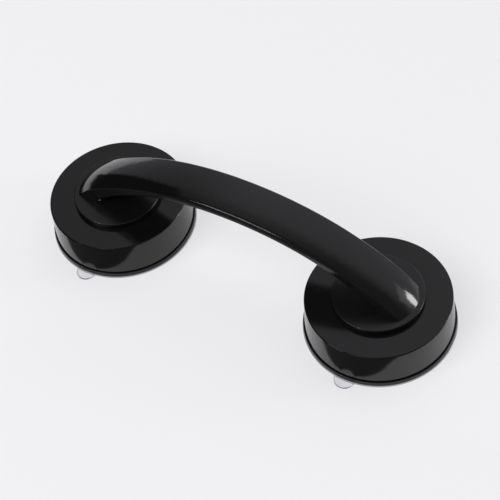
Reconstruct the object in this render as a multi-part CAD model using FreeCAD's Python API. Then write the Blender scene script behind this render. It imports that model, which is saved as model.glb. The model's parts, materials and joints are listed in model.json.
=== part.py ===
import FreeCAD, Part
import math
import os

# Suction grab bar: an arched handle on two twist-lock suction cups.
# Millimetres, +Z up, +X along the bar. The surface the cups stick to is z = 0.
# The pose drawn is the locked one, with both lifters drawn up.

V = FreeCAD.Vector
X_AXIS = V(1, 0, 0)
Y_AXIS = V(0, 1, 0)
Z_AXIS = V(0, 0, 1)

# layout
CUP_X = 83.9            # each cup's axis from the middle of the bar
BAR_Y = 2.5             # bar axis, set so that the pull tabs balance the bounding box
RUN = 0.1               # running clearance of a pin, shaft or sleeve
GAP = 0.3               # clearance between pieces that pass without touching

# suction pad
PAD_R = 42.5
RIM_T = 0.8
RIM_LIP_T = 0.5         # thickness of the rim at its outer edge
RIM_FLAT_R = 42.2       # radius at which the rim's top starts to fall to the edge
RIM_IN_R = 31.0
PAD_BOSS_R = 10.2
PAD_BOSS_TOP = 8.0
PAD_DOME_H = 3.0
PAD_WALL = 2.0

# pull tab
TAB_R = 6.0
TAB_CENTRE = 41.5
TAB_T = 0.8
TAB_Z = 0.5
TAB_HINGE = 43.2

# pressure plate
LIP_R = 42.0
LIP_TOP = 3.7
LIP_EDGE = 0.25
HUB_TOP = 10.4
HUB_FLOOR = 8.4
HUB_R = 24.5
HUB_BORE = 5.8

# twist casing
CASE_TOP_R = 40.0
CASE_FOOT_R = 41.14
CASE_FOOT = 4.4
CASE_TOP = 24.26
CASE_WALL = 2.2
CASE_EDGE = 0.7
CASE_RIB = (6.0, 1.6, 12.0)     # length, width and drop of each rib inside the wall
CASE_RIB_INSET = 1.2            # from the cam sleeve's flange out to the ribs
MARK = (3.6, 0.7)               # length and width of the index mark on top
MARK_DEPTH = 0.1
MARK_IN_R = 33.2
MARK_DEG = -78

# foot of the handle
NECK_R = 19.0
NECK_WALL = 3.0
GUIDE_WALL = 2.9
PLATEAU_R = 25.4
PLATEAU_TOP = 27.76
PLATEAU_EDGE = 0.6
FOOT_SCREW_PITCH_R = 13.4
FOOT_BOSS_R = 2.9
FOOT_SCREW_DEG = (45, 135, 225, 315)
FOOT_PILOT_R = 1.25
FOOT_PILOT_L = 9.6
WASHER_SEAT_IN_R = 20.0
WASHER_SEAT_OUT_R = 23.6
WASHER_SEAT_H = 1.0

# lifter, cross pin and cam
LIFT = 3.0              # travel of the lifter over the casing's turn
TURN = 90.0             # turn of the casing, degrees
POST_R = 5.5
POST_TOP = 20.4
ANCHOR_R = 8.0
ANCHOR_Z = 4.4
ANCHOR_T = 1.6
PIN_R = 2.0
PIN_Z = 17.7
PIN_HALF = 22.4
SLEEVE_R = 23.0
SLEEVE_FOOT = 11.05
FLANGE_R = 31.5
FLANGE_T = 2.2
SLOT_OVERRUN = 8.0      # degrees that each cam slot runs on past the pin
CAM_SCREW_R = 27.5
CAM_SCREW_DEG = (30, 150, 270)

# strap, whose long edges follow half an ellipse that swells out a little at its ends
ARCH_A = 111.2
ARCH_B = 68.0
ARCH_TOP = 65.66        # height of the edges at mid-span
HALF_W_MID = 12.75      # half the width of the strap at mid-span
HALF_W_END = 12.3
SPAN_DEG = 69.0         # ellipse angle at which the strap is buried in the plateau
FLARE = 2.8             # outward swelling of the ends beyond the ellipse
FLARE_FROM = 36.0       # ellipse angles between which the swelling grows
FLARE_TO = 64.0
CROWN_MID = 1.5
CROWN_END = 3.14
DEPTH_MID = 5.7
DEPTH_END = 12.0
STATIONS = 19
TOP_EDGE_MID_R = 2.0    # rounding between the crowned top and the sides, at mid-span
TOP_EDGE_END_R = 0.5    # and where the strap meets the plateau
LOW_EDGE_R = 1.4        # rounding between the sides and the underside
SEAM = 2.1              # depth of the seam below the edges
COVER_DEG = 55.0
COVER_INSET = 0.3
SHELL_WALL = 2.0
CAVITY_DEG = 50.0
COVER_SCREW_DEG = (-38.0, -13.0, 13.0, 38.0)


def ring(r_in, r_out, z_low, z_high):
    """Flat ring about Z."""
    body = Part.makeCylinder(r_out, z_high - z_low, V(0, 0, z_low))
    if r_in > 0:
        body = body.cut(Part.makeCylinder(r_in, z_high - z_low, V(0, 0, z_low)))
    return body


def turned(profile):
    """Solid of revolution about Z from (radius, height) points."""
    points = [V(r, 0, z) for r, z in profile]
    face = Part.Face(Part.makePolygon(points + points[:1]))
    return face.revolve(V(0, 0, 0), Z_AXIS, 360)


def rim_edges(shape, radius, height, tolerance=0.01):
    """Circular edges of at least one radius that lie at one height."""
    return [e for e in shape.Edges
            if abs(e.BoundBox.ZMin - height) < tolerance
            and abs(e.BoundBox.ZMax - height) < tolerance
            and e.BoundBox.XLength > 2 * radius - tolerance]


def around(shape, angles):
    """Copies of a shape turned about Z."""
    copies = []
    for angle in angles:
        copy = shape.copy()
        copy.rotate(V(0, 0, 0), Z_AXIS, angle)
        copies.append(copy)
    return copies


def screw(head_r, head_t, shank_r, shank_l):
    """Pan-head screw: head from z = 0 down, shank up, cross recess in the head."""
    head = Part.makeCylinder(head_r, head_t, V(0, 0, -head_t))
    head = head.makeFillet(head_t * 0.4, [e for e in head.Edges if e.BoundBox.ZMax < -head_t + 0.01])
    shank = Part.makeCylinder(shank_r, shank_l)
    tip = Part.makeCone(shank_r, shank_r * 0.4, shank_r, V(0, 0, shank_l))
    body = head.fuse([shank, tip])
    slot_l = head_r * 1.1
    slot_w = head_r * 0.26
    depth = head_t * 0.55
    for length, width in ((slot_l, slot_w), (slot_w, slot_l)):
        body = body.cut(Part.makeBox(length, width, depth, V(-length / 2, -width / 2, -head_t)))
    return body.removeSplitter()


# ---- the strap ---------------------------------------------------------------

def flare_at(deg):
    """Outward shift of the edge line at an angle, and its slope per radian."""
    share = (abs(deg) - FLARE_FROM) / (FLARE_TO - FLARE_FROM)
    share = min(max(share, 0.0), 1.0)
    shift = FLARE * share ** 2 * (3 - 2 * share)
    slope = FLARE * 6 * share * (1 - share) / math.radians(FLARE_TO - FLARE_FROM)
    return math.copysign(shift, deg), slope


def arch_frame(deg):
    """Point on the strap's edge line and the outward normal there."""
    t = math.radians(deg)
    shift, slope = flare_at(deg)
    point = V(ARCH_A * math.sin(t) + shift, 0, ARCH_TOP - ARCH_B * (1 - math.cos(t)))
    normal = V(ARCH_B * math.sin(t), 0, ARCH_A * math.cos(t) + slope)
    normal.normalize()
    return point, normal


def half_width_at(deg):
    """Half the strap's width, narrowing a little toward the ends."""
    return HALF_W_MID + (HALF_W_END - HALF_W_MID) * (deg / SPAN_DEG) ** 2


def crown_at(deg):
    """Height of the strap's crest above its edges."""
    return CROWN_MID + (CROWN_END - CROWN_MID) * (deg / SPAN_DEG) ** 2


def top_edge_at(deg):
    """Rounding of the strap's top edges, sharper toward the ends."""
    return TOP_EDGE_MID_R + (TOP_EDGE_END_R - TOP_EDGE_MID_R) * (deg / SPAN_DEG) ** 2


def depth_at(deg):
    """Depth of the strap's underside below its edges."""
    return DEPTH_MID + (DEPTH_END - DEPTH_MID) * abs(deg / SPAN_DEG) ** 3


def section(deg, half_w, top, crown, bottom, top_r, low_r):
    """Closed outline across the strap: crowned top, straight sides, rounded corners."""
    point, normal = arch_frame(deg)
    shoulder = top + crown * (1 - ((half_w - top_r) / half_w) ** 2)
    top_k = top_r * (1 - math.sqrt(0.5))
    low_k = low_r * (1 - math.sqrt(0.5))

    def at(y, n):
        return point + normal * n + Y_AXIS * y

    def arc(a, b, c):
        return Part.Arc(at(*a), at(*b), at(*c)).toShape()

    def mirrored(places):
        return [(-y, n) for y, n in reversed(places)]

    low_corner = [(half_w, bottom + low_r), (half_w - low_k, bottom + low_k), (half_w - low_r, bottom)]
    top_corner = [(half_w - top_r, shoulder), (half_w - top_k, shoulder - top_k * 1.1), (half_w, top - top_r)]
    edges = [
        arc((top_r - half_w, shoulder), (0, top + crown), top_corner[0]),
        arc(*top_corner),
        Part.makeLine(at(*top_corner[2]), at(*low_corner[0])),
        arc(*low_corner),
        Part.makeLine(at(*low_corner[2]), at(*mirrored(low_corner)[0])),
        arc(*mirrored(low_corner)),
        Part.makeLine(at(*mirrored(low_corner)[2]), at(*mirrored(top_corner)[0])),
        arc(*mirrored(top_corner)),
    ]
    return Part.Wire(edges)


def swept(limit_deg, half_w, top, crown, bottom, top_r, low_r):
    """Solid through sections along the arch; all but low_r are functions of the angle."""
    wires = []
    for i in range(STATIONS):
        deg = -limit_deg + 2 * limit_deg * i / (STATIONS - 1)
        wires.append(section(deg, half_w(deg), top(deg), crown(deg), bottom(deg), top_r(deg), low_r))
    return Part.makeLoft(wires, True, False)


def strap_envelope():
    """Outside of the top shell, before the cover's strip is taken out of it."""
    return swept(SPAN_DEG, half_width_at, lambda d: 0.0, crown_at,
                 lambda d: -depth_at(d), top_edge_at, LOW_EDGE_R)


def cover_strip():
    """Everything below the seam between the ends of the cover."""
    return swept(COVER_DEG, lambda d: half_width_at(d) + 4, lambda d: -SEAM, lambda d: 0.01,
                 lambda d: -depth_at(d) - 4, lambda d: 0.05, 0.8)


def strap_cavity():
    """Hollow shared by the shell and the cover."""
    return swept(CAVITY_DEG, lambda d: half_width_at(d) - SHELL_WALL - COVER_INSET,
                 lambda d: -SHELL_WALL + 0.3, lambda d: crown_at(d) * 0.8,
                 lambda d: -depth_at(d) + SHELL_WALL, lambda d: 0.4, 0.4)


def cover_screw_places():
    """Base point of each cover screw's axis on the edge line, and its inward direction."""
    return [arch_frame(deg) + (deg,) for deg in COVER_SCREW_DEG]


def along(point, normal, n_low, n_high, radius):
    """Cylinder on the strap's normal, between two heights from the edge line."""
    return Part.makeCylinder(radius, n_high - n_low, point + normal * n_low, normal)


# ---- pieces of the handle ----------------------------------------------------

def foot(side):
    """Plateau, neck, lifter guide and screw bosses of one end, about its cup's axis."""
    plateau = ring(0, PLATEAU_R, CASE_TOP + GAP, PLATEAU_TOP)
    plateau = plateau.makeFillet(PLATEAU_EDGE, rim_edges(plateau, PLATEAU_R, PLATEAU_TOP))
    neck = ring(NECK_R - NECK_WALL, NECK_R, HUB_TOP, CASE_TOP + GAP + 0.5)
    guide = ring(POST_R + RUN, POST_R + RUN + GUIDE_WALL, HUB_TOP, CASE_TOP + GAP + 0.5)
    boss = Part.makeCylinder(FOOT_BOSS_R, CASE_TOP + GAP + 0.5 - HUB_TOP, V(FOOT_SCREW_PITCH_R, 0, HUB_TOP))
    body = plateau.fuse([neck, guide] + around(boss, FOOT_SCREW_DEG))
    body = body.cut(pin_slot())
    pilot = Part.makeCylinder(FOOT_PILOT_R, FOOT_PILOT_L, V(FOOT_SCREW_PITCH_R, 0, HUB_TOP))
    body = body.cut(Part.makeCompound(around(pilot, FOOT_SCREW_DEG)))
    washer_seat = ring(WASHER_SEAT_IN_R, WASHER_SEAT_OUT_R, CASE_TOP, CASE_TOP + WASHER_SEAT_H)
    body = body.cut(washer_seat)
    body.translate(V(side * CUP_X, 0, 0))
    return body


def pin_slot():
    """Upright slots through neck and guide that let the cross pin rise and fall."""
    low = PIN_Z - LIFT
    width = 2 * (PIN_R + RUN)
    reach = NECK_R + 1
    box = Part.makeBox(width, 2 * reach, LIFT, V(-width / 2, -reach, low))
    ends = [Part.makeCylinder(PIN_R + RUN, 2 * reach, V(0, -reach, z), Y_AXIS) for z in (low, PIN_Z)]
    return box.fuse(ends).removeSplitter()


def handle_top_shell():
    shell = strap_envelope()
    above = Part.makeBox(300, 100, 60, V(-150, -50, PLATEAU_TOP - 1.5))
    shell = shell.common(above)
    shell = shell.cut(cover_strip())
    shell = shell.cut(strap_cavity())
    for point, normal, deg in cover_screw_places():
        shell = shell.fuse(along(point, normal, -SHELL_WALL - 0.6, crown_at(deg) - 0.8, 3.0))
        shell = shell.cut(along(point, normal, -SHELL_WALL - 2, crown_at(deg) - 1.4, 0.9))
    shell = shell.fuse([foot(-1), foot(1)])
    return shell.removeSplitter()


def handle_bottom_cover():
    cover = swept(COVER_DEG - 0.2, lambda d: half_width_at(d) - COVER_INSET,
                  lambda d: -SEAM, lambda d: 0.01,
                  lambda d: -depth_at(d), lambda d: 0.35, LOW_EDGE_R)
    cover = cover.cut(strap_cavity())
    for point, normal, deg in cover_screw_places():
        cover = cover.cut(along(point, normal, -SHELL_WALL - 0.6, 0, 3.3))
        cover = cover.fuse(along(point, normal, -depth_at(deg) + 0.8, -SHELL_WALL - 0.6, 3.3))
        cover = cover.cut(along(point, normal, -depth_at(deg) - 1, -SHELL_WALL - 1.5, 2.1))
        cover = cover.cut(along(point, normal, -depth_at(deg) - 1, 0, 1.15))
    return cover.removeSplitter()


def cover_screws():
    screws = []
    for point, normal, deg in cover_screw_places():
        one = screw(1.9, 1.1, 0.9, 2.5)
        turn = FreeCAD.Rotation(Z_AXIS, normal)
        one.Placement = FreeCAD.Placement(point - normal * (SHELL_WALL + 1.5), turn)
        screws.append(one)
    return Part.makeCompound(screws)


# ---- pieces of one cup, about its own axis -----------------------------------

def suction_pad():
    pad = turned([
        (RIM_IN_R, 0), (PAD_R, 0), (PAD_R, RIM_LIP_T), (RIM_FLAT_R, RIM_T), (RIM_IN_R + 2, RIM_T),
        (PAD_BOSS_R + 1.5, PAD_DOME_H + PAD_WALL), (PAD_BOSS_R, PAD_DOME_H + PAD_WALL + 0.8),
        (PAD_BOSS_R, PAD_BOSS_TOP), (0, PAD_BOSS_TOP), (0, PAD_DOME_H), (PAD_BOSS_R, PAD_DOME_H),
    ])
    return pad.cut(lifter_blank())


def pull_tab():
    low = TAB_Z - TAB_T / 2
    root_half = math.sqrt(TAB_R ** 2 - (TAB_HINGE - TAB_CENTRE) ** 2) - 0.15
    disc = Part.makeCylinder(TAB_R, TAB_T, V(0, -TAB_CENTRE, low))
    beyond = Part.makeBox(40, 20, 10, V(-20, -TAB_HINGE - 20, -5))
    root = Part.makeCylinder(TAB_T / 2, 2 * root_half, V(-root_half, -TAB_HINGE, TAB_Z), X_AXIS)
    return disc.common(beyond).fuse(root).removeSplitter()


def pressure_plate():
    plate = turned([
        (HUB_BORE, HUB_FLOOR), (PAD_BOSS_R + 1.8, HUB_FLOOR), (PAD_BOSS_R + 2.3, 6.6), (HUB_R - 6, 5.6),
        (RIM_IN_R + 2.6, RIM_T), (LIP_R, RIM_T),
        (LIP_R, LIP_TOP - LIP_EDGE), (LIP_R - LIP_EDGE, LIP_TOP), (36.6, LIP_TOP),
        (HUB_R, 7.6), (HUB_R, HUB_TOP), (HUB_BORE, HUB_TOP),
    ])
    for z_low, z_high, radius in ((0, HUB_FLOOR - 0.2, 2.7), (0, HUB_TOP + 1, 1.65)):
        hole = Part.makeCylinder(radius, z_high - z_low, V(FOOT_SCREW_PITCH_R, 0, z_low))
        plate = plate.cut(Part.makeCompound(around(hole, FOOT_SCREW_DEG)))
    return plate


def foot_screws():
    one = screw(2.5, 1.6, 1.25, 8.0)
    one.translate(V(FOOT_SCREW_PITCH_R, 0, HUB_FLOOR - 0.2))
    return Part.makeCompound(around(one, FOOT_SCREW_DEG))


def twist_casing():
    outer = Part.makeCone(CASE_FOOT_R, CASE_TOP_R, CASE_TOP - CASE_FOOT, V(0, 0, CASE_FOOT))
    outer = outer.makeFillet(CASE_EDGE, rim_edges(outer, CASE_TOP_R, CASE_TOP))
    inner = Part.makeCone(CASE_FOOT_R - CASE_WALL, CASE_TOP_R - CASE_WALL,
                          CASE_TOP - CASE_WALL - CASE_FOOT, V(0, 0, CASE_FOOT))
    casing = outer.cut(inner)
    casing = casing.cut(Part.makeCylinder(NECK_R + RUN, 10, V(0, 0, CASE_TOP - 5)))
    length, width, drop = CASE_RIB
    rib = Part.makeBox(length, width, drop,
                       V(FLANGE_R + CASE_RIB_INSET, -width / 2, CASE_TOP - CASE_WALL - drop + 0.5))
    casing = casing.fuse(around(rib, range(15, 360, 30)))
    pilot = Part.makeCylinder(1.05, 1.5, V(CAM_SCREW_R, 0, CASE_TOP - CASE_WALL))
    casing = casing.cut(Part.makeCompound(around(pilot, CAM_SCREW_DEG)))
    mark = Part.makeBox(MARK[0], MARK[1], 1.0, V(MARK_IN_R, -MARK[1] / 2, CASE_TOP - MARK_DEPTH))
    casing = casing.cut(around(mark, (MARK_DEG,))[0])
    return casing.removeSplitter()


def cam_slot():
    """Cutter for one helical slot; the pin climbs it as the casing turns to lock."""
    lead = LIFT * 360 / TURN
    span = TURN + 2 * SLOT_OVERRUN
    mid_r = (NECK_R + SLEEVE_R) / 2
    start_z = PIN_Z - LIFT - LIFT * SLOT_OVERRUN / TURN
    path = Part.makeHelix(lead, lead * span / 360, mid_r)
    half = PIN_R + RUN
    width = SLEEVE_R - NECK_R + 1
    corners = [V(mid_r - width / 2, 0, -half), V(mid_r + width / 2, 0, -half),
               V(mid_r + width / 2, 0, half), V(mid_r - width / 2, 0, half)]
    profile = Part.makePolygon(corners + corners[:1])
    cutter = Part.Wire(path.Edges).makePipeShell([profile], True, True)
    cutter.rotate(V(0, 0, 0), Z_AXIS, -SLOT_OVERRUN)
    cutter.translate(V(0, 0, start_z))
    return cutter


def cam_sleeve():
    under_top = CASE_TOP - CASE_WALL
    sleeve = ring(NECK_R + RUN, SLEEVE_R, SLEEVE_FOOT, under_top)
    flange = ring(SLEEVE_R - 0.5, FLANGE_R, under_top - FLANGE_T, under_top)
    sleeve = sleeve.fuse(flange).removeSplitter()
    slots = Part.makeCompound(around(cam_slot(), (0, 180)))
    sleeve = sleeve.cut(slots)
    hole = Part.makeCylinder(1.3, 10, V(CAM_SCREW_R, 0, under_top - 5))
    return sleeve.cut(Part.makeCompound(around(hole, CAM_SCREW_DEG)))


def cam_screws():
    one = screw(2.2, 1.4, 1.05, 2.2)
    one.translate(V(CAM_SCREW_R, 0, CASE_TOP - CASE_WALL - FLANGE_T))
    return Part.makeCompound(around(one, CAM_SCREW_DEG))


def lifter_blank():
    """Post and the anchor flange that the pad is moulded round."""
    post = Part.makeCylinder(POST_R, POST_TOP - ANCHOR_Z, V(0, 0, ANCHOR_Z))
    post = post.makeChamfer(0.6, [e for e in post.Edges if e.BoundBox.ZMin > POST_TOP - 0.01])
    anchor = Part.makeCylinder(ANCHOR_R, ANCHOR_T, V(0, 0, ANCHOR_Z))
    return post.fuse(anchor).removeSplitter()


def cross_pin():
    pin = Part.makeCylinder(PIN_R, 2 * PIN_HALF, V(0, -PIN_HALF, PIN_Z), Y_AXIS)
    return pin.makeChamfer(0.3, [e for e in pin.Edges if e.BoundBox.YLength < 0.01])


def lifter():
    hole = Part.makeCylinder(PIN_R, 2 * PIN_HALF, V(0, -PIN_HALF, PIN_Z), Y_AXIS)
    return lifter_blank().cut(hole)


def glide_washer():
    return ring(NECK_R + 1.2, NECK_R + 4.4, CASE_TOP + 0.05, CASE_TOP + 1.0)


def thrust_washer():
    return ring(NECK_R + 0.4, HUB_R - 0.2, HUB_TOP, SLEEVE_FOOT - 0.05)


CUP_PIECES = {
    "suction_pad": suction_pad,
    "pull_tab": pull_tab,
    "pressure_plate": pressure_plate,
    "foot_screws": foot_screws,
    "twist_casing": twist_casing,
    "cam_sleeve": cam_sleeve,
    "cam_screws": cam_screws,
    "lifter": lifter,
    "cross_pin": cross_pin,
    "glide_washer": glide_washer,
    "thrust_washer": thrust_washer,
}

HANDLE_PIECES = {
    "handle_top_shell": handle_top_shell,
    "handle_bottom_cover": handle_bottom_cover,
    "cover_screws": cover_screws,
}


def build():
    os.makedirs("parts", exist_ok=True)
    for node, make in HANDLE_PIECES.items():
        shape = make()
        shape.translate(V(0, BAR_Y, 0))
        shape.exportStep("parts/%s.step" % node)
    for node, make in CUP_PIECES.items():
        for side, x in (("left", -CUP_X), ("right", CUP_X)):
            shape = make()
            shape.translate(V(x, BAR_Y, 0))
            shape.exportStep("parts/%s_%s.step" % (side, node))


build()
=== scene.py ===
import json
import math

import bmesh
import bpy
from mathutils import Matrix, Quaternion, Vector


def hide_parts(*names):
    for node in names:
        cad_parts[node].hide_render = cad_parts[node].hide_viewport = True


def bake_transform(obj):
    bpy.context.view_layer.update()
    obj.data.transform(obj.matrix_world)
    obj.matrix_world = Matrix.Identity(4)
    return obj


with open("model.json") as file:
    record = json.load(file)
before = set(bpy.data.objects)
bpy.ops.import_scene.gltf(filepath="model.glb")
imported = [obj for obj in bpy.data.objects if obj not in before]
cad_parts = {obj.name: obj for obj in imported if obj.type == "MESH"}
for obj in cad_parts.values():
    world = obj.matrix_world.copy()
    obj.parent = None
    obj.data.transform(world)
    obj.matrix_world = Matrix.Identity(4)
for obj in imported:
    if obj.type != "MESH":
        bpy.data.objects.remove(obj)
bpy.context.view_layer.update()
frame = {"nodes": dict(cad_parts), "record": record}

# Suction grab bar: looks for the CAD nodes, and soft clear pads in place of the plain ones.

NODES = frame["nodes"]
SIDES = {"left": -1, "right": 1}

# layout, metres in the row frame
CUP_X = 0.0839
CUP_Y = 0.0025

# meshes
TURNS = 160             # segments round a membrane
RIM_SEGMENTS = 192      # segments round a rim
SHARP_DEG = 32          # edges sharper than this stay sharp
ON_AXIS = 1e-6          # mm, radius below which a profile point is a single vertex

# pull tab, mm
TAB_R = 6.0
TAB_CENTRE = 41.5       # in front of the cup's axis
TAB_ROOT = 3.0          # how far the tab's root runs into the rim
TAB_STEPS = 32

# black plastic
BLACK = (0.0042, 0.0042, 0.0044)
PLATEAU_TOP = 0.0278    # metres; below this the handle is satin
PLATEAU_EASE = 0.0001   # height over which the satin ends
PLATEAU_ROUGH = 0.27
GRAIN_SCALE = 2600.0    # of all the mouldings
GRAIN = 0.05            # strength of that grain
SHEEN_SCALE = 28.0      # of the slow changes of sheen

# clear vinyl: where the painted shade along the rim and round the tab's edge sets in and ends, metres
RIM_SHADE_IN = (0.0408, 0.0412)
RIM_SHADE_OUT = (0.0426, 0.0429)
TAB_SHADE_IN = (0.0054, 0.0058)
TAB_EDGE_SHADE = 0.6     # share of the rim's painted shade that the tab's edge takes
CLEAR_FLAT = (0.955, 0.95, 0.985, 1)
# colour of the painted shade along the rim and round the tab's edge
CLEAR_PAINTED_SHADE = (0.28, 0.27, 0.3, 1)

# normals of the black mouldings
WELD_WITHIN = 2e-6      # metres
SPLIT_DEG = 33
FACE_AREA_WEIGHT = 80

# the surroundings' brightness, as the black plastic reflects them
SKY_FRONT = 0.13
SKY_BACK = 0.62
SKY_LEFT = 0.5
SKY_COLOUR = (0.96, 0.945, 1.0, 1)

# floor and cards, metres
FLOOR_SIZE = 12
FLOOR_COLOUR = (0.33, 0.33, 0.335, 1)
FLOOR_GLOW_COLOUR = (0.98, 0.98, 1.0, 1)
FLOOR_GLOW = 0.59
FRONT_CARD_CENTRE = (0, -1.0425, 0.0004)
FRONT_CARD_SIZE = (6, 2)
FRONT_CARD_TONE = 0.12
SIDE_CARD_CENTRE = (-0.36, -0.455, 0.21)
SIDE_CARD_SIZE = (1.15, 0.42)
SIDE_CARD_TONE = 0.008

# name, direction, distance, width, height, power, seen in reflections
LIGHTS = (
    ("key", (-0.25, -0.5, 0.85), 2.4, 1.8, 1.8, 30.0, False),
    ("fill_back", (0.1, 0.6, 0.8), 2.6, 2.6, 2.6, 10.0, False),
    ("edge_strip", (-0.34, -0.68, 0.62), 2.4, 1.3, 0.95, 12.0, True),
    ("strip", (0.81, 0.55, 0.19), 1.6, 0.32, 0.42, 5.0, True),
    ("strip_glow", (0.82, 0.45, 0.36), 1.7, 0.6, 0.5, 0.7, True),
)

# camera
CAMERA_AT = Vector((0.31522, -0.39580, 0.67220))
CAMERA_AIM = Vector((0.00456, 0.00154, 0.02150))
CAMERA_ROLL = math.radians(-10.27)
CAMERA_LENS = 106.55
CAMERA_SENSOR = 36.0
CAMERA_CLIP = (0.01, 30)


# ---- small helpers for node materials ----------------------------------------

def new_material(name):
    """A material with a Principled shader; returns the material, its tree and the shader."""
    mat = bpy.data.materials.new(name)
    mat.use_nodes = True
    tree = mat.node_tree
    return mat, tree, tree.nodes["Principled BSDF"]


def add(tree, kind, **values):
    """A node with its properties and input values set."""
    node = tree.nodes.new(kind)
    for key, value in values.items():
        if key in node.inputs:
            node.inputs[key].default_value = value
        else:
            setattr(node, key, value)
    return node


def noise(tree, coords, scale, detail=2.0):
    node = add(tree, "ShaderNodeTexNoise")
    node.inputs["Scale"].default_value = scale
    node.inputs["Detail"].default_value = detail
    tree.links.new(coords, node.inputs["Vector"])
    return node.outputs["Fac"]


def ramp(tree, fac, low, high, out_low, out_high, blend="LINEAR"):
    """Fac mapped from low..high to out_low..out_high."""
    node = add(tree, "ShaderNodeMapRange", interpolation_type=blend)
    node.inputs["From Min"].default_value = low
    node.inputs["From Max"].default_value = high
    node.inputs["To Min"].default_value = out_low
    node.inputs["To Max"].default_value = out_high
    tree.links.new(fac, node.inputs["Value"])
    return node.outputs["Result"]


def object_coords(tree):
    return add(tree, "ShaderNodeTexCoord").outputs["Object"]


def bump(tree, shader, height, strength, distance):
    node = add(tree, "ShaderNodeBump")
    node.inputs["Strength"].default_value = strength
    node.inputs["Distance"].default_value = distance
    tree.links.new(height, node.inputs["Height"])
    tree.links.new(node.outputs["Normal"], shader.inputs["Normal"])


def moulded_plastic(name, colour, rough, vary=0.06, ior=1.5, satin_below=None):
    """Moulded plastic: fine grain and slow changes of sheen, rougher below a height if one is given."""
    mat, tree, shader = new_material(name)
    shader.inputs["Base Color"].default_value = (*colour, 1)
    shader.inputs["IOR"].default_value = ior
    coords = object_coords(tree)
    slow = noise(tree, coords, SHEEN_SCALE, 3.0)
    sheen = ramp(tree, slow, 0.3, 0.7, rough - vary, rough + vary)
    if satin_below:
        split = add(tree, "ShaderNodeSeparateXYZ")
        tree.links.new(coords, split.inputs["Vector"])
        height = split.outputs["Z"]
        satin = ramp(tree, height, satin_below, satin_below + PLATEAU_EASE, PLATEAU_ROUGH, 0.0)
        sheen = larger(tree, sheen, satin)
    tree.links.new(sheen, shader.inputs["Roughness"])
    bump(tree, shader, noise(tree, coords, GRAIN_SCALE), GRAIN, 0.0002)
    return mat


def distance_from(tree, coords, x, y):
    """Distance in plan from the upright line at +-x, y in either half of the bar."""
    split = add(tree, "ShaderNodeSeparateXYZ")
    tree.links.new(coords, split.inputs["Vector"])
    outward = add(tree, "ShaderNodeMath", operation="ABSOLUTE")
    tree.links.new(split.outputs["X"], outward.inputs[0])
    plan = add(tree, "ShaderNodeCombineXYZ")
    tree.links.new(outward.outputs["Value"], plan.inputs["X"])
    tree.links.new(split.outputs["Y"], plan.inputs["Y"])
    away = add(tree, "ShaderNodeVectorMath", operation="DISTANCE")
    away.inputs[1].default_value = (x, y, 0)
    tree.links.new(plan.outputs["Vector"], away.inputs[0])
    return away.outputs["Value"]


def larger(tree, first, second):
    node = add(tree, "ShaderNodeMath", operation="MAXIMUM")
    tree.links.new(first, node.inputs[0])
    tree.links.new(second, node.inputs[1])
    return node.outputs["Value"]


def smaller(tree, first, second):
    node = add(tree, "ShaderNodeMath", operation="MINIMUM")
    tree.links.new(first, node.inputs[0])
    tree.links.new(second, node.inputs[1])
    return node.outputs["Value"]


def clear_plastic(name):
    """Clear soft vinyl, with a painted shade, darker violet-grey, along the rim and round the tab's edge.
    """
    mat, tree, shader = new_material(name)
    shader.inputs["Transmission Weight"].default_value = 1.0
    shader.inputs["IOR"].default_value = 1.42
    coords = object_coords(tree)
    radius = distance_from(tree, coords, CUP_X, CUP_Y)
    # Painted shade: the rim and the tab's edge are coloured a darker violet-grey.
    rim = smaller(tree, ramp(tree, radius, *RIM_SHADE_IN, 0.0, 1.0),
                  ramp(tree, radius, *RIM_SHADE_OUT, 1.0, 0.0))
    reach = distance_from(tree, coords, CUP_X, CUP_Y - TAB_CENTRE * 0.001)
    edge = smaller(tree, ramp(tree, reach, *TAB_SHADE_IN, 0.0, TAB_EDGE_SHADE),
                   ramp(tree, radius, *RIM_SHADE_OUT, 0.0, 1.0))
    painted_shade = add(tree, "ShaderNodeMix", data_type="RGBA")
    painted_shade.inputs[6].default_value = CLEAR_FLAT
    painted_shade.inputs[7].default_value = CLEAR_PAINTED_SHADE
    tree.links.new(larger(tree, rim, edge), painted_shade.inputs[0])
    tree.links.new(painted_shade.outputs[2], shader.inputs["Base Color"])
    tree.links.new(ramp(tree, noise(tree, coords, 60.0), 0.3, 0.7, 0.03, 0.1), shader.inputs["Roughness"])
    bump(tree, shader, noise(tree, coords, 180.0, 2.0), 0.15, 0.0003)
    return mat


def steel(name):
    mat, tree, shader = new_material(name)
    shader.inputs["Base Color"].default_value = (0.56, 0.56, 0.57, 1)
    shader.inputs["Metallic"].default_value = 1.0
    coords = object_coords(tree)
    tree.links.new(ramp(tree, noise(tree, coords, 900.0), 0.3, 0.7, 0.2, 0.34), shader.inputs["Roughness"])
    return mat


MATERIALS = {
    "black_handle": moulded_plastic("black_handle", BLACK, 0.11, vary=0.02, satin_below=PLATEAU_TOP),
    "black_cover": moulded_plastic("black_cover", BLACK, 0.2, vary=0.03),
    "black_casing": moulded_plastic("black_casing", BLACK, 0.13, vary=0.02, ior=1.46),
    "black_base": moulded_plastic("black_base", BLACK, 0.35, vary=0.04, ior=1.36),
    "clear_soft": clear_plastic("clear_soft"),
    "cam_plastic": moulded_plastic("cam_plastic", (0.62, 0.61, 0.56), 0.45),
    "lifter_plastic": moulded_plastic("lifter_plastic", (0.68, 0.67, 0.62), 0.42),
    "washer_plastic": moulded_plastic("washer_plastic", (0.74, 0.74, 0.71), 0.45),
    "steel": steel("steel"),
}

for part in frame["record"]["subparts"]:
    node = NODES[part["node"]]
    node.data.materials.clear()
    node.data.materials.append(MATERIALS[part["material_slot"]])


# ---- the clear pads and their pull tabs ---------------------------------------

def mm(*values):
    return Vector(values) * 0.001


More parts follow.
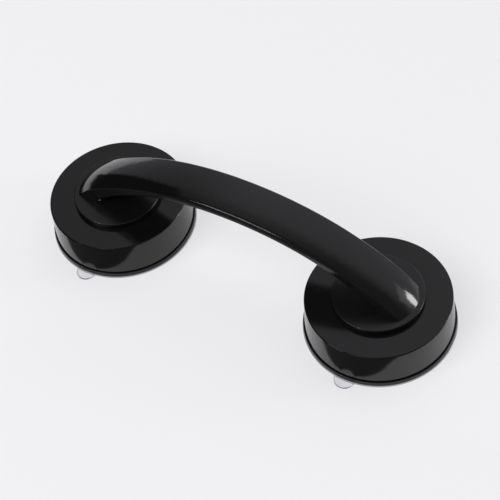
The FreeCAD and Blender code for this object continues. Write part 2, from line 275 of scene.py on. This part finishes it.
def from_bmesh(bm, name, slot):
    """An object from a bmesh, smooth but for its sharp edges."""
    bmesh.ops.recalc_face_normals(bm, faces=bm.faces[:])
    mesh = bpy.data.meshes.new(name)
    bm.to_mesh(mesh)
    bm.free()
    mesh.shade_smooth()
    mesh.set_sharp_from_angle(angle=math.radians(SHARP_DEG))
    mesh.materials.append(MATERIALS[slot])
    obj = bpy.data.objects.new(name, mesh)
    bpy.context.scene.collection.objects.link(obj)
    return obj


def lathe(bm, profile, side, segments=TURNS):
    """Closed outline of (radius, height) points in mm turned about a cup's axis."""
    rings = []
    centre = Vector((side * CUP_X, CUP_Y, 0))
    for r, z in profile:
        if r < ON_AXIS:
            rings.append([bm.verts.new(centre + mm(0, 0, z))])
            continue
        turn = [2 * math.pi * i / segments for i in range(segments)]
        rings.append([bm.verts.new(centre + mm(r * math.cos(a), r * math.sin(a), z)) for a in turn])
    for low, high in zip(rings, rings[1:] + rings[:1]):
        if len(low) == 1 and len(high) == 1:
            continue
        for i in range(segments):
            j = (i + 1) % segments
            corners = [low[i % len(low)], low[j % len(low)], high[j % len(high)], high[i % len(high)]]
            bm.faces.new(list(dict.fromkeys(corners)))


def corner(r, z, radius, start_deg, steps=5):
    """Points of a quarter round about (r, z), from the start angle on."""
    return [(r + radius * math.cos(math.radians(start_deg + 90 * i / steps)),
             z + radius * math.sin(math.radians(start_deg + 90 * i / steps))) for i in range(steps + 1)]


def pad_rim(side):
    """Outer ring of a pad, between the floor and the pressure plate."""
    bm = bmesh.new()
    outline = [(31.0, 0.1), (31.2, 0.0), (42.25, 0.0)]
    outline += corner(42.25, 0.23, 0.23, -90, 4)[1:]
    outline += [(42.47, 0.42), (42.4, 0.56), (42.22, 0.7), (41.9, 0.77), (33.0, 0.78), (32.3, 0.86)]
    lathe(bm, outline, side, RIM_SEGMENTS)
    return bm


def tab_plate(side):
    """Round-ended tab whose root is buried in the rim: rings of points with a rounded edge."""
    bm = bmesh.new()
    centre = Vector((side * CUP_X, CUP_Y, 0)) + mm(0, -TAB_CENTRE, 0)
    levels = [(0.25, 0.12), (0.08, 0.16), (0.0, 0.28), (0.0, 0.72), (0.08, 0.84), (0.25, 0.88)]
    rings = []
    for inset, z in levels:
        r = TAB_R - inset
        points = [(-r, TAB_ROOT), (-r, 0.0)]
        points += [(-r * math.cos(a), -r * math.sin(a)) for a in
                   (math.pi * i / TAB_STEPS for i in range(1, TAB_STEPS))]
        points += [(r, 0.0), (r, TAB_ROOT)]
        rings.append([bm.verts.new(centre + mm(x, y, z)) for x, y in points])
    for low, high in zip(rings, rings[1:]):
        for i in range(len(low)):
            j = (i + 1) % len(low)
            bm.faces.new([low[i], low[j], high[j], high[i]])
    bm.faces.new(rings[0])
    bm.faces.new(rings[-1])
    return bm


def joined(obj, other):
    """Union of two closed meshes, kept in the first; the second is removed."""
    modifier = obj.modifiers.new("union", "BOOLEAN")
    modifier.operation = "UNION"
    modifier.solver = "EXACT"
    modifier.object = other
    bpy.context.view_layer.update()
    made = bpy.data.meshes.new_from_object(obj.evaluated_get(bpy.context.evaluated_depsgraph_get()))
    obj.modifiers.clear()
    obj.data = made
    bpy.data.objects.remove(other)
    made.shade_smooth()
    made.set_sharp_from_angle(angle=math.radians(SHARP_DEG))
    return obj


# outline of a membrane: dome, boss round the lifter's foot, and the hollow beneath; radius and height in mm
MEMBRANE = [
    (30.95, 0.14), (32.2, 0.9), (11.9, 4.95), (11.0, 5.15), (10.5, 5.45), (10.2, 5.9), (10.2, 7.7),
    (9.9, 8.0), (5.6, 8.0), (5.6, 6.05), (8.05, 6.05), (8.05, 4.35), (0, 4.35), (0, 3.0),
    (9.6, 3.0), (10.2, 2.95), (10.9, 2.8),
]

for side_name, side in SIDES.items():
    rim = from_bmesh(pad_rim(side), side_name + "_clear_rim_and_tab", "clear_soft")
    tab = from_bmesh(tab_plate(side), side_name + "_tab_plate", "clear_soft")
    rim = joined(rim, tab)
    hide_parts(side_name + "_suction_pad", side_name + "_pull_tab")
    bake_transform(rim)
    bm = bmesh.new()
    lathe(bm, MEMBRANE, side)
    membrane = from_bmesh(bm, side_name + "_clear_membrane", "clear_soft")
    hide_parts(side_name + "_suction_pad")
    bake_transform(membrane)


# ---- smooth shading of the black mouldings --------------------------------------

def polish(node):
    """Even normals over rounded edges and the flats beside them."""
    if "custom_normal" in node.data.attributes:
        node.data.attributes.remove(node.data.attributes["custom_normal"])
    node.data.shade_smooth()
    weld = node.modifiers.new("weld", "WELD")
    weld.merge_threshold = WELD_WITHIN
    split = node.modifiers.new("split", "EDGE_SPLIT")
    split.split_angle = math.radians(SPLIT_DEG)
    even = node.modifiers.new("even", "WEIGHTED_NORMAL")
    even.keep_sharp = True
    even.weight = FACE_AREA_WEIGHT


for name in ("handle_top_shell", "handle_bottom_cover", "left_twist_casing", "right_twist_casing",
             "left_pressure_plate", "right_pressure_plate"):
    polish(NODES[name])


# ---- stage, lights and camera ------------------------------------------------

def plane(name, centre, size_x, size_y):
    mesh = bpy.data.meshes.new(name)
    corners = [(-size_x / 2, -size_y / 2, 0), (size_x / 2, -size_y / 2, 0),
               (size_x / 2, size_y / 2, 0), (-size_x / 2, size_y / 2, 0)]
    mesh.from_pydata([Vector(c) + Vector(centre) for c in corners], [], [(0, 1, 2, 3)])
    obj = bpy.data.objects.new(name, mesh)
    bpy.context.scene.collection.objects.link(obj)
    return obj


def area_light(name, towards, distance, size_x, size_y, power, reflected):
    """Soft box at a direction from the object, facing it."""
    light = bpy.data.lights.new(name, "AREA")
    light.shape = "RECTANGLE"
    light.size = size_x
    light.size_y = size_y
    light.energy = power
    obj = bpy.data.objects.new(name, light)
    direction = Vector(towards).normalized()
    obj.location = direction * distance
    obj.rotation_mode = "QUATERNION"
    obj.rotation_quaternion = (-direction).to_track_quat("-Z", "Y")
    obj.visible_glossy = reflected
    bpy.context.scene.collection.objects.link(obj)
    return obj


def card(name, centre, size, tone):
    """A matt grey card that only reflections see."""
    obj = plane(name, centre, *size)
    mat, _, shader = new_material(name)
    shader.inputs["Base Color"].default_value = (tone, tone, tone, 1)
    shader.inputs["Roughness"].default_value = 1.0
    shader.inputs["Specular IOR Level"].default_value = 0.0
    obj.data.materials.append(mat)
    obj.visible_camera = False
    obj.visible_diffuse = False
    obj.visible_shadow = False
    obj.visible_transmission = False
    return obj


floor = plane("floor", (0, 0, 0), FLOOR_SIZE, FLOOR_SIZE)
floor_mat, _, floor_shader = new_material("floor")
floor_shader.inputs["Base Color"].default_value = FLOOR_COLOUR
floor_shader.inputs["Roughness"].default_value = 0.6
floor_shader.inputs["Specular IOR Level"].default_value = 0.2
floor_shader.inputs["Emission Color"].default_value = FLOOR_GLOW_COLOUR
floor_shader.inputs["Emission Strength"].default_value = FLOOR_GLOW
floor.data.materials.append(floor_mat)

# A dark grey card lies in front of the bar, and a black one stands at its left.
front_card = card("card", FRONT_CARD_CENTRE, FRONT_CARD_SIZE, FRONT_CARD_TONE)
side_card = card("side_card", (0, 0, 0), SIDE_CARD_SIZE, SIDE_CARD_TONE)
quarter_turn = math.pi / 2
side_card.data.transform(Matrix.Translation(SIDE_CARD_CENTRE) @ Matrix.Rotation(quarter_turn, 4, "Z")
                         @ Matrix.Rotation(quarter_turn, 4, "X"))

world = bpy.data.worlds.new("studio")
world.use_nodes = True
sky = world.node_tree
direction = add(sky, "ShaderNodeSeparateXYZ")
sky.links.new(add(sky, "ShaderNodeTexCoord").outputs["Generated"], direction.inputs["Vector"])
towards_back = ramp(sky, direction.outputs["Y"], -0.05, 0.5, SKY_FRONT, SKY_BACK, "SMOOTHERSTEP")
towards_left = ramp(sky, direction.outputs["X"], -0.8, -0.2, SKY_LEFT, 1.0, "SMOOTHERSTEP")
level = add(sky, "ShaderNodeMath", operation="MULTIPLY")
sky.links.new(towards_back, level.inputs[0])
sky.links.new(towards_left, level.inputs[1])
sky.nodes["Background"].inputs["Color"].default_value = SKY_COLOUR
sky.links.new(level.outputs["Value"], sky.nodes["Background"].inputs["Strength"])
bpy.context.scene.world = world

for light_values in LIGHTS:
    area_light(*light_values)

camera_data = bpy.data.cameras.new("camera")
camera_data.lens = CAMERA_LENS
camera_data.sensor_width = CAMERA_SENSOR
camera_data.clip_start, camera_data.clip_end = CAMERA_CLIP
camera = bpy.data.objects.new("camera", camera_data)
camera.location = CAMERA_AT
camera.rotation_mode = "QUATERNION"
camera.rotation_quaternion = (
    (CAMERA_AIM - CAMERA_AT).to_track_quat("-Z", "Y") @ Quaternion((0, 0, 1), CAMERA_ROLL))
bpy.context.scene.collection.objects.link(camera)
bpy.context.scene.camera = camera
bpy.context.scene.view_settings.view_transform = "Standard"
